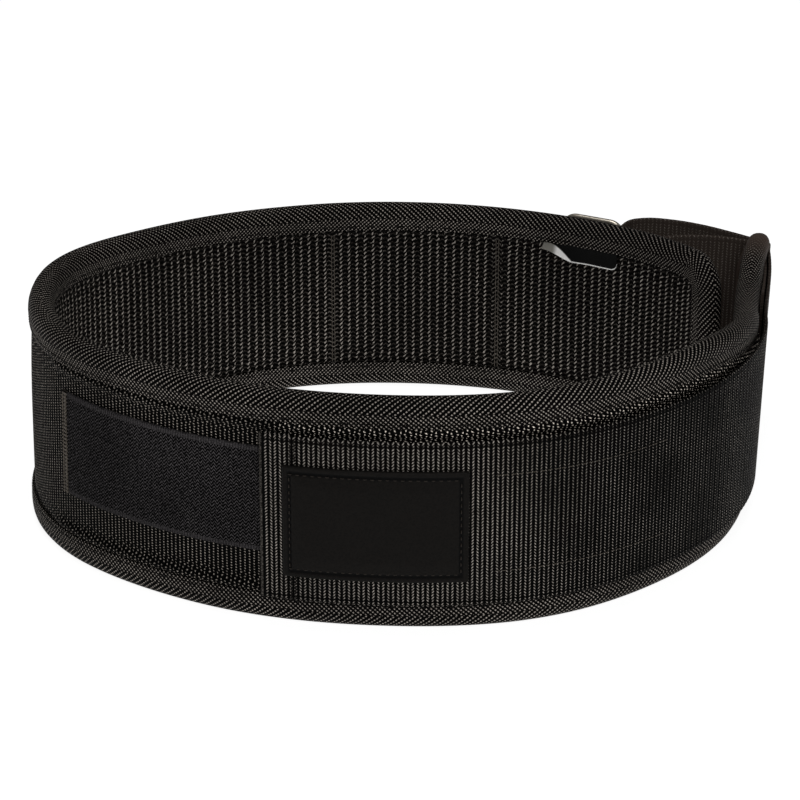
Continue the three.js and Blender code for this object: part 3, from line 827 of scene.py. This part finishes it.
def makeLoopField(form):
    shown, hidden = np.arange(form["from"], form["fine"], 0.6), np.arange(form["fine"], form["to"], 5.0)
    along = np.concatenate([shown, hidden])
    half = form["height"] / 2
    rim = np.array([0, 0.15, 0.5])
    inner = np.linspace(1 - half, half - 1, 60)
    rows = form["middle"] + np.concatenate([rim - half, inner, half - rim[::-1]])

    def front(u, z):
        edge = half - np.abs(z - form["middle"])
        side = np.minimum(edge, (u - form["from"]) * 1.0 + 0.01)
        rounded = 0.7 * np.sqrt(np.clip(side / 0.6, 0, 1)) - 0.7
        pile = smoothStep(edge, 2.4, 3.0) * smoothStep(u, form["from"] + 5.5, form["from"] + 6.3)
        fuzz = 0.16 * np.sin(u * 3.9 + 2.2 * np.sin(z * 1.9)) * np.sin(z * 2.3 + 1.7 * np.sin(u * 1.3))
        sewn = 0.25 * np.exp(-((edge - 1.3) / 0.5) ** 2)
        offset = form["out"] + rounded + pile * (0.15 + fuzz) - sewn + unevenness(u, z, 0.12, 3.1)
        return onBelt(u, offset, z)

    return panel("loopField", along, rows, front, lambda u, z: onBelt(u, layers["bindingIn"], z), loopPile)


finishPiece(makeLoopField(loopField), "loop", "loop_field")

strapHeight = {"front": 51.4, "drop": 1.4, "dropFrom": 860}
hookPanel = {"from": 620.0, "to": 786.0, "half": 24.0, "in": 6.5, "out": 7.9}


def strapMiddle(along):
    form = strapHeight
    return form["front"] - form["drop"] * smoothStep(along, form["dropFrom"], beltLength)


def makeHookPanel(form):
    along = np.arange(form["from"], form["to"] + 0.1, 2.0)
    rows = np.linspace(-form["half"], form["half"], 25)
    place = lambda offset: lambda u, v: onBelt(u, offset, strapMiddle(u) + v)
    return panel("hookPanel", along, rows, place(form["out"]), place(form["in"]), hookTape)


finishPiece(makeHookPanel(hookPanel), "hook", "hook_panel")

# The strap's way in plan, as far as it leaves the belt; the points are the ones in the part's source
strap = {
    "width": 76.0, "thick": 1.6, "end": 604.5, "hem": 13.0, "hemLayer": 7.1, "sewnFrom": 930.0,
    "middleRing": 52.8, "column": 4.2, "deep": 0.42, "step": 0.42,
    "bulge": [(184.6, 102.5), (182.4, 105.4), (178.4, 108.2), (168.4, 116.6), (154.2, 127.4),
              (140, 134.3), (128, 136.4), (119.6, 133.2), (115.2, 126.2), (113.2, 118)],
    "tuck": [(120.4, 103.2), (127, 104.8), (136, 108.5), (148, 110.8), (162.5, 109.6),
             (173, 106.2), (178.2, 104), (181.7, 101.9)],
}
ring = {"along": 86.8, "offset": 9.1, "width": 36.0, "wire": 4.4, "thick": 3.2, "corner": 9.0, "window": 79.0,
        "clearance": 1.5, "keeperLength": 30.0, "keeperRise": 9.0, "keeperLayer": 8.7, "gap": 0.3}


def ringFrame():
    at = np.array([ring["along"]])
    outward = outwardAt(at)[0]
    tangent = np.array([-outward[1], outward[0], 0])
    centre = np.array([read("x", at)[0], read("y", at)[0], 0]) + outward * ring["offset"]
    return centre + np.array([*beltForm["shift"], 0]), tangent, outward


def roundBar(side):
    centre, tangent, outward = ringFrame()
    bar = centre - tangent * side * (ring["width"] - ring["wire"]) / 2
    turn = np.radians(np.linspace(90, -90, 25))[:, None]
    across = ring["wire"] / 2 + ring["clearance"] + 2 * ring["gap"]
    out = ring["thick"] / 2 + ring["clearance"]
    rise = np.sin(turn)
    flattened = np.sign(rise) * np.sqrt(np.abs(rise))
    return bar + tangent * side * np.cos(turn) * across + outward * flattened * out


# A smooth line through points in plan, resampled evenly
def smoothLine(points, spacing):
    gaps = np.linalg.norm(np.diff(points[:, :2], axis=0), axis=1)
    at = running(gaps)
    slope = np.gradient(points, at, axis=0)
    fine = np.arange(0, at[-1], spacing / 4)
    k = np.clip(np.searchsorted(at, fine, "right") - 1, 0, len(gaps) - 1)
    t, gap = ((fine - at[k]) / gaps[k])[:, None], gaps[k][:, None]
    line = ((2 * t ** 3 - 3 * t ** 2 + 1) * points[k] + (t ** 3 - 2 * t ** 2 + t) * gap * slope[k]
            + (3 * t ** 2 - 2 * t ** 3) * points[k + 1] + (t ** 3 - t ** 2) * gap * slope[k + 1])
    run = running(np.linalg.norm(np.diff(line[:, :2], axis=0), axis=1))
    even = np.arange(0, run[-1], spacing)
    return np.stack([np.interp(even, run, line[:, c]) for c in range(line.shape[1])], 1), even


# Rows of x, y, middle height and lean for a stretch of ribbon that lies on the belt
def beltRow(start, stop, step, offset, middle=None):
    along = np.linspace(start, stop, max(2, int(abs(stop - start) / step)))
    middle = strapMiddle(along) if middle is None else np.full_like(along, middle)
    place = onBelt(along, offset, middle)
    lean = read("lean", along)[:, None] * outwardAt(along)[:, :2]
    return np.concatenate([place[:, :2], middle[:, None], lean], 1)


def freeRow(points, before, after):
    points = np.asarray(points, float)[:, :2]
    share = np.linspace(0, 1, len(points) + 2)[1:-1, None]
    return np.concatenate([points, before[2:] * (1 - share) + after[2:] * share], 1)


def webbing(name, stations, form, start, material):
    line, run = smoothLine(stations, form["step"])
    travel = np.gradient(line[:, :2], run, axis=0)
    travel /= np.linalg.norm(travel, axis=1, keepdims=True)
    side = np.stack([travel[:, 1], -travel[:, 0]], 1)
    half = form["width"] / 2
    rows = np.concatenate([[-half, -half + 0.25, -half + 0.9], np.linspace(-half + 2, half - 2, 9),
                           [half - 0.9, half - 0.25, half]])
    full = np.array([0.3, 0.8, 1] + [1] * 9 + [1, 0.8, 0.3])
    x = (run - start) / form["column"]
    body = np.abs(np.sin(x * math.pi)) ** 0.5
    groove = np.abs(np.sin(x * 2 * math.pi)) ** 0.5
    relief = form["deep"] * (body * (0.7 + 0.3 * groove) - 1)
    faces = []
    for sign, order in ((1, slice(None)), (-1, slice(None, None, -1))):
        thick = sign * (form["thick"] / 2 + relief[:, None]) * full[None, order]
        rise = rows[order][None]
        plan = line[:, None, :2] + side[:, None] * thick[..., None] + line[:, None, 3:5] * rise[..., None]
        faces.append(np.concatenate([plan, (line[:, 2:3] + rise)[..., None]], -1))
    rings = np.concatenate(faces, 1)
    v = np.concatenate([rows, rows[::-1]])
    uv = np.stack(np.broadcast_arrays((run - start)[:, None], v[None]), -1)
    return sweep(name, rings, uv, material, sharp=60)


def strapStations(form):
    hem = beltRow(form["end"] + form["hem"], form["end"] + 1, 3, form["hemLayer"])
    middle = (form["hemLayer"] + layers["strapOuter"]) / 2
    start = form["end"] + 1
    fold = np.concatenate([beltRow(start - math.cos(a), start + 1, 9, middle + math.sin(a))[:1]
                           for a in np.radians(np.linspace(-80, 80, 9))])
    outer = beltRow(form["end"] + 1, beltLength - 1, 5, layers["strapOuter"])
    shift = np.array(beltForm["shift"])
    back = roundBar(1)[2:]
    flat = np.array([0, 0, form["middleRing"], 0, 0])
    inner = beltRow(beltLength - 1, form["sewnFrom"], 5, layers["strapInner"])
    bulge = freeRow(np.array(form["bulge"]) + shift, outer[-1], flat)
    tuck = freeRow(np.array(form["tuck"]) + shift, flat, inner[0])
    return np.concatenate([hem, fold, outer, bulge, freeRow(back, flat, flat), tuck, inner])


finishPiece(webbing("strap", strapStations(strap), strap, strap["hem"] + 1.5, chevronWebbing),
            "strap", "webbing_strap")


def keeperStations():
    sewn = ring["along"] + ring["width"] / 2 + ring["keeperLength"]
    near = ring["along"] + ring["width"] / 2 + ring["keeperRise"]
    over = beltRow(sewn, near, 4, ring["keeperLayer"], strap["middleRing"])
    under = beltRow(near, sewn, 4, layers["strapInner"], strap["middleRing"])
    flat = np.array([0, 0, strap["middleRing"], 0, 0])
    return np.concatenate([over, freeRow(roundBar(-1), flat, flat), under])


finishPiece(webbing("ringKeeper", keeperStations(), strap, 0, chevronWebbing), "strap", "ring_keeper")
print("strap and keeper made")


# The ring: round-edged flat wire bent into a rounded rectangle
def makeRing(form):
    centre, tangent, outward = ringFrame()
    halfWide, halfTall = (form["width"] - form["wire"]) / 2, (form["window"] + form["wire"]) / 2
    radius = form["corner"] - form["wire"] / 2
    path = []
    wide, tall = halfWide - radius, halfTall - radius
    for k, (x, z) in enumerate([(1, 1), (-1, 1), (-1, -1), (1, -1)]):
        for angle in np.radians(np.linspace(90 * k, 90 * k + 90, 14)):
            c, s = math.cos(angle), math.sin(angle)
            path.append((x * wide + radius * c, z * tall + radius * s, c, s))
        if k % 2 == 0:
            path += [(x * wide * (1 - 2 * t), z * halfTall, 0, z) for t in np.linspace(0, 1, 8)[1:-1]]
        else:
            path += [(x * halfWide, z * tall * (1 - 2 * t), x, 0) for t in np.linspace(0, 1, 12)[1:-1]]
    path = np.array(path)
    turn = np.linspace(0, 2 * math.pi, 20, endpoint=False)
    round_ = lambda a: np.sign(a) * np.abs(a) ** 0.7
    across, out = round_(np.cos(turn)) * form["wire"] / 2, round_(np.sin(turn)) * form["thick"] / 2
    x = path[:, :1] + path[:, 2:3] * across
    z = path[:, 1:2] + path[:, 3:4] * across + strap["middleRing"]
    up = np.array([0, 0, 1])
    rings = centre + x[..., None] * tangent + out[None, :, None] * outward + z[..., None] * up
    length = np.arange(len(path))[:, None] * 2.0
    uv = np.stack(np.broadcast_arrays(length, np.arange(20)[None] * 0.6), -1)
    return sweep("buckleRing", rings, uv, steel, loopLength=len(path) * 2.0, sharp=80)


finishPiece(makeRing(ring), "steel", "buckle_ring")

# Badge: leather sewn to the strap, raised in the middle and pressed down along its seam
badge = {"from": 614.3, "to": 690.2, "height": 51.5, "drop": -0.6, "in": 10.0, "out": 11.3, "seam": 3.1}


def fromBadgeEdge(u, v, form):
    return np.minimum(form["height"] / 2 - np.abs(v), np.minimum(u - form["from"], form["to"] - u))


def badgeOffset(u, v, form):
    edge = fromBadgeEdge(u, v, form)
    rounded = 0.8 * np.sqrt(np.clip(edge / 0.8, 0, 1)) - 0.8
    groove = -0.55 * np.exp(-((edge - form["seam"]) / 0.75) ** 2)
    puff = 0.55 * smoothStep(edge, form["seam"], form["seam"] + 7)
    return form["out"] + rounded + groove + puff + unevenness(u * 2.2, v * 2.2, 0.08, 0.4)


def makeBadge(form):
    side = np.array([0, 0.1, 0.35, 0.8])
    ease = lambda low, high, count: np.concatenate([low + side, np.linspace(low, high, count)[1:-1],
                                                    high - side[::-1]])
    along = ease(form["from"], form["to"], 110)
    rows = ease(-form["height"] / 2, form["height"] / 2, 76)
    middle = lambda u: strapMiddle(u) + form["drop"]
    return panel("badge", along, rows, lambda u, v: onBelt(u, badgeOffset(u, v, form), middle(u) + v),
                 lambda u, v: onBelt(u, form["in"], middle(u) + v), leather, sharp=60)


badgePiece = finishPiece(makeBadge(badge), "badge", "badge_patch")
badgeUv = weaveOf(badgePiece)[1]
layEdge(badgePiece, fromBadgeEdge(*badgeUv.T, badge), badgeUv[:, 0])

# Size label inside, sewn under the top binding: one lower corner is rounded, and the other end has curled away
label = {"from": 65.5, "to": 107.2, "height": 8.2, "out": -5.2, "thick": 0.25, "corner": 3.5,
         "curlFrom": 25.0, "cut": 5.6}


def makeLabel(form):
    along = np.linspace(form["to"], form["from"], 110)
    rows = np.linspace(0, form["height"], 18)

    def place(extra):
        def at(u, v):
            top = read("height", u) - layers["bindingDepth"] - 0.2
            low = 1 - v / form["height"]  # 1 at the free lower edge
            curl = smoothStep(u - form["from"], form["curlFrom"], form["to"] - form["from"])
            bow = 0.9 * np.exp(-((u - form["from"] - 25) / 6) ** 2) + 0.3 * np.sin((u - form["from"]) / 5)
            rounded = cornerDrop(u - form["from"], form["corner"])
            z = top - form["height"] * low + (rounded + form["cut"] * curl) * low
            return onBelt(u, form["out"] - (2.6 * curl + bow) * low ** 1.5 + extra, z)
        return at

    return panel("sizeLabel", along, rows, place(0), place(form["thick"]), labelTape)


finishPiece(makeLabel(label), "label", "size_label")
print("ring, badge and label made")

# Stitching, in rows that follow the belt
sewing = {
    "pitch": 3.1, "length": 2.5, "fromEnd": 24,
    "bindingRow": 11.0, "onBinding": (5.5, -5.45),  # height from the edge, and distance outwards and inwards
    "besideRow": 14.0, "besideBinding": (4.35, -4.6),
    "field": (495.6, 497.9), "hem": (617.6, 619.4), "keeper": (118.5, 121, 134.5),
    "grip": (702, 782), "gripHalf": 22.3, "onStrap": 9.85,
    "badgeHalf": 25, "badgeMiddle": 50.8, "badgePitch": 3.06, "onBadge": 11.02,
}


def underTop(distance):
    return lambda along: read("height", along) - distance


def sewRows(form):
    def roundBelt(distance, offsets):
        return gather(*[rowAlong(form["fromEnd"], beltLength - form["fromEnd"], z, offset, form["pitch"])
                        for z in (distance, underTop(distance)) for offset in offsets])

    field = gather(*[columnUp(at, 33.5, 80.5, 5.85, 1.7) for at in form["field"]])
    grip = gather(*[rowAlong(*form["grip"], lambda a, s=s: strapMiddle(a) + s, form["onStrap"], 3.0)
                    for s in (form["gripHalf"], -form["gripHalf"])])
    hem = gather(*[columnUp(at, 14.5 + 0.6 * k, 88.5, form["onStrap"], 2.2)
                   for k, at in enumerate(form["hem"])])
    seams = gather(*[columnUp(at + side, 15, read("height", float(at)) - 15, -4.75, 1.9)
                     for at in lining["seams"] for side in (-0.7, 0.7)])
    keeper = gather(*[columnUp(at, 15, 88, 9.5, 2.8) for at in form["keeper"]])
    inset, middle = badge["seam"], form["badgeMiddle"]
    low, high, half = badge["from"] + inset, badge["to"] - inset, form["badgeHalf"]
    lie = form["onBadge"], form["badgePitch"]
    badgeRow = lambda side: lambda a: strapMiddle(a) + badge["drop"] + side * (half - inset)
    patch = gather(*[rowAlong(low + 0.4, high, badgeRow(side), *lie) for side in (1, -1)],
                   *[columnUp(at, middle - half + inset + 1.6, middle + half - inset - 1, *lie)
                     for at in (low, high)])
    return {
        "bindingStitches": (roundBelt(form["bindingRow"], form["onBinding"]), darkThread, "binding",
                            form["length"], 0.55),
        "edgeStitches": (roundBelt(form["besideRow"], form["besideBinding"]), darkThread, "cover",
                         form["length"], 0.4),
        "fieldStitches": (field, paleThread, "loop", 1.4, 0.8),
        "gripStitches": (grip, paleThread, "strap", 2.3, 0.3),
        "hemStitches": (hem, darkThread, "strap", 2.0, 0.6),
        "liningStitches": (seams, paleThread, "lining", 1.8, 0.4),
        "keeperStitches": (keeper, darkThread, "strap", 2.2, 0.5),
        "badgeStitches": (patch, waxedThread, "badge", 1.7, 0.5),
    }


for name, (rows, thread, slot, length, thick) in sewRows(sewing).items():
    finishPiece(stitches(name, *rows, length, thick, thread), slot)
print("stitches sewn")

# Studio: a pale floor that stays white under the belt, and large soft lights
studio = {
    "floor": 6.0, "floorColour": "#f4f4f4", "glow": 1.0, "sky": 0.1,
    "lights": [("frontSoftbox", (0.1, -1.5, 1.05), (0.8, 0.6), 12),
               ("topSoftbox", (0.0, 0.15, 1.5), (1.0, 0.8), 7),
               ("rightStrip", (1.5, -0.4, 0.8), (0.4, 1.0), 0.6)],
}


def makeFloor(form):
    material, tree = newMaterial("paleFloor")
    solid = addNode(tree, "TexCoord")
    grain = addNode(tree, "TexNoise", {}, {"Vector": solid.outputs["Object"], "Scale": 60.0})
    shade = addNode(tree, "MapRange", {}, {0: grain, 3: 0.28, 4: 0.32})
    endInShader(tree, {
        "Base Color": shade, "Roughness": 0.9, "Specular IOR Level": 0.1,
        "Emission Color": linear(form["floorColour"]), "Emission Strength": form["glow"]})
    reach = form["floor"] * 1000
    corners = [(-reach, -reach, -0.2), (reach, -reach, -0.2), (reach, reach, -0.2), (-reach, reach, -0.2)]
    floor = newPiece("studioFloor", corners, [[0, 1, 2, 3]], material)


def makeLight(name, place, size, power):
    data = bpy.data.lights.new(name, "AREA")
    data.shape, data.size, data.size_y, data.energy = "RECTANGLE", size[0], size[1], power
    lamp = bpy.data.objects.new(name, data)
    lamp.location = place
    aim = -np.array(place) + np.array([0, 0, 0.05])
    turn = math.atan2(aim[1], aim[0])
    tilt = math.atan2(-aim[2], math.hypot(aim[0], aim[1]))
    lamp.rotation_euler = (math.pi / 2 - tilt, 0, turn - math.pi / 2)
    bpy.context.scene.collection.objects.link(lamp)


def makeSky(form):
    world = bpy.data.worlds.new("studioSky")
    world.use_nodes = True
    tree = world.node_tree
    tree.nodes.clear()
    sky = addNode(tree, "Background", {}, {"Color": (1, 1, 1, 1), "Strength": form["sky"]})
    addNode(tree, "OutputWorld", {}, {"Surface": sky})
    bpy.context.scene.world = world


makeFloor(studio)
makeSky(studio)
for light in studio["lights"]:
    makeLight(*light)

# Long lens, from in front and above
view = {"lens": 135.0, "sensor": 36.0, "place": (-0.005249, -1.2949, 0.585), "down": 22.5}


def makeCamera(form):
    data = bpy.data.cameras.new("productCamera")
    data.lens, data.sensor_width = form["lens"], form["sensor"]
    data.clip_start, data.clip_end = 0.05, 50
    camera = bpy.data.objects.new("productCamera", data)
    camera.location = form["place"]
    camera.rotation_euler = (math.radians(90 - form["down"]), 0, 0)
    bpy.context.scene.collection.objects.link(camera)
    bpy.context.scene.camera = camera


makeCamera(view)
bpy.context.scene.view_settings.view_transform = "Standard"
bpy.context.view_layer.update()
print("scene ready")
